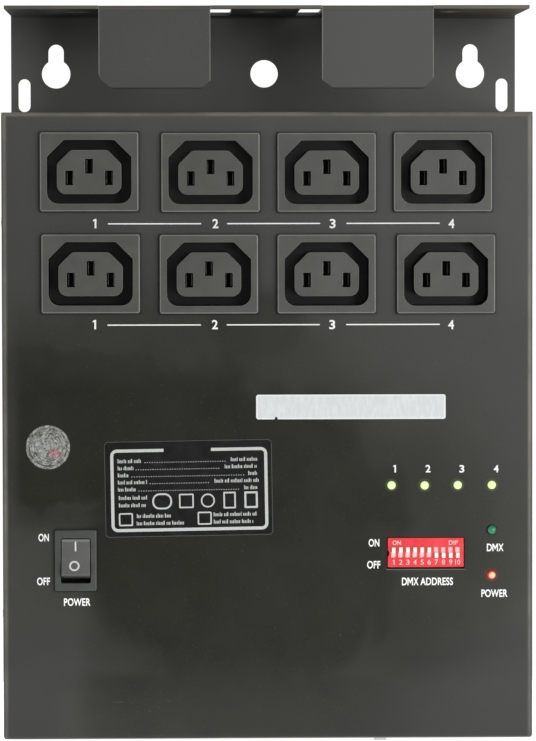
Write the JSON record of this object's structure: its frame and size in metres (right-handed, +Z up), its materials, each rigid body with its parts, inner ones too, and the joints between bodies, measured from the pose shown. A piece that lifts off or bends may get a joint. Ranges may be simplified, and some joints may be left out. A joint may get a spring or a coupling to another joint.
{
  "type": "dmx switch pack",
  "caption": "Wall or truss mounted lighting switch pack: folded steel case with rows of three-pole mains outlets, power rocker, address switch, indicator lamps and a clamp flange.",
  "frame": {"origin": "on the back face of the mounting plate, at the middle of the case", "axes": "+Z up, -Y out of the front panel, +X to the right seen from the front"},
  "size_m": [0.1928, 0.0738, 0.2635],
  "materials": {
    "case_coat": "fine black powder coat",
    "plate_coat": "fine black powder coat",
    "outlet_plastic": "moulded, fine texture",
    "switch_plastic": "moulded, fine texture",
    "rocker_plastic": "satin",
    "red_plastic": "satin",
    "white_plastic": "satin",
    "green_lens": "clear lens, lit",
    "dark_green_lens": "tinted lens, unlit",
    "amber_lens": "tinted lens, lit",
    "board_laminate": "solder mask",
    "relay_shell": "moulded",
    "transformer_steel": "varnished laminations",
    "capacitor_sleeve": "shrink sleeve",
    "terminal_plastic": "moulded",
    "chip_plastic": "moulded epoxy",
    "ribbon_grey": "PVC",
    "zinc_steel": "zinc plated",
    "brass": "bright",
    "connector_plastic": "moulded, fine texture",
    "fuse_glass": "clear glass with plated caps",
    "silver_film": "diffracting foil",
    "white_film": "printed film",
    "black_film": "printed film"
  },
  "bodies": {
    "chassis": {"front_cover": "case_coat", "mounting_plate": "plate_coat", "outlet_1a": "outlet_plastic", "outlet_2a": "outlet_plastic", "outlet_3a": "outlet_plastic", "outlet_4a": "outlet_plastic", "outlet_1b": "outlet_plastic", "outlet_2b": "outlet_plastic", "outlet_3b": "outlet_plastic", "outlet_4b": "outlet_plastic", "power_switch_housing": "switch_plastic", "dip_switch_body": "red_plastic", "channel_led_1": "green_lens", "channel_led_2": "green_lens", "channel_led_3": "green_lens", "channel_led_4": "green_lens", "dmx_led": "dark_green_lens", "power_led": "amber_lens", "control_board": "board_laminate", "relay_board": "board_laminate", "relay_1": "relay_shell", "relay_2": "relay_shell", "relay_3": "relay_shell", "relay_4": "relay_shell", "mains_transformer": "transformer_steel", "smoothing_capacitor": "capacitor_sleeve", "mains_terminal_block": "terminal_plastic", "controller_chip": "chip_plastic", "ribbon_cable": "ribbon_grey", "relay_board_standoff_1": "zinc_steel", "relay_board_standoff_2": "zinc_steel", "relay_board_standoff_3": "zinc_steel", "relay_board_standoff_4": "zinc_steel", "control_board_standoff_1": "zinc_steel", "control_board_standoff_2": "zinc_steel", "side_screw_1": "zinc_steel", "side_screw_2": "zinc_steel", "side_screw_3": "zinc_steel", "side_screw_4": "zinc_steel", "earth_stud": "brass", "dmx_in_socket": "connector_plastic", "dmx_out_socket": "connector_plastic", "mains_inlet": "connector_plastic", "inspection_sticker": "silver_film", "title_label": "white_film", "rating_label": "black_film"},
    "power_rocker": {"power_rocker": "rocker_plastic"},
    "dmx_out_latch": {"dmx_out_latch": "zinc_steel"},
    "fuse_drawer": {"fuse_drawer": "connector_plastic", "fuse": "fuse_glass"},
    "dip_lever_1": {"dip_lever_1": "white_plastic"},
    "dip_lever_2": {"dip_lever_2": "white_plastic"},
    "dip_lever_3": {"dip_lever_3": "white_plastic"},
    "dip_lever_4": {"dip_lever_4": "white_plastic"},
    "dip_lever_5": {"dip_lever_5": "white_plastic"},
    "dip_lever_6": {"dip_lever_6": "white_plastic"},
    "dip_lever_7": {"dip_lever_7": "white_plastic"},
    "dip_lever_8": {"dip_lever_8": "white_plastic"},
    "dip_lever_9": {"dip_lever_9": "white_plastic"},
    "dip_lever_10": {"dip_lever_10": "white_plastic"}
  },
  "joints": [
    {"name": "power_rocker_tilt", "type": "hinge", "parent": "chassis", "child": "power_rocker", "pos_m": [-0.06815, -0.0658, -0.0474], "axis": [1, 0, 0], "range_deg": [0, 24]},
    {"name": "dip_lever_1_slide", "type": "slide", "parent": "chassis", "child": "dip_lever_1", "axis": [0, 0, 1], "range_m": [-0.0019, 0]},
    {"name": "dip_lever_2_slide", "type": "slide", "parent": "chassis", "child": "dip_lever_2", "axis": [0, 0, 1], "range_m": [-0.0019, 0]},
    {"name": "dip_lever_3_slide", "type": "slide", "parent": "chassis", "child": "dip_lever_3", "axis": [0, 0, 1], "range_m": [-0.0019, 0]},
    {"name": "dip_lever_4_slide", "type": "slide", "parent": "chassis", "child": "dip_lever_4", "axis": [0, 0, 1], "range_m": [-0.0019, 0]},
    {"name": "dip_lever_5_slide", "type": "slide", "parent": "chassis", "child": "dip_lever_5", "axis": [0, 0, 1], "range_m": [-0.0019, 0]},
    {"name": "dip_lever_6_slide", "type": "slide", "parent": "chassis", "child": "dip_lever_6", "axis": [0, 0, 1], "range_m": [-0.0019, 0]},
    {"name": "dip_lever_7_slide", "type": "slide", "parent": "chassis", "child": "dip_lever_7", "axis": [0, 0, 1], "range_m": [0, 0.0019]},
    {"name": "dip_lever_8_slide", "type": "slide", "parent": "chassis", "child": "dip_lever_8", "axis": [0, 0, 1], "range_m": [0, 0.0019]},
    {"name": "dip_lever_9_slide", "type": "slide", "parent": "chassis", "child": "dip_lever_9", "axis": [0, 0, 1], "range_m": [0, 0.0019]},
    {"name": "dip_lever_10_slide", "type": "slide", "parent": "chassis", "child": "dip_lever_10", "axis": [0, 0, 1], "range_m": [0, 0.0019]},
    {"name": "dmx_out_latch_press", "type": "slide", "parent": "chassis", "child": "dmx_out_latch", "axis": [0, 0, 1], "range_m": [0, 0.0015], "stiffness_N_per_m": 600},
    {"name": "fuse_drawer_pull", "type": "slide", "parent": "chassis", "child": "fuse_drawer", "axis": [0, 0, -1], "range_m": [0, 0.016]}
  ]
}
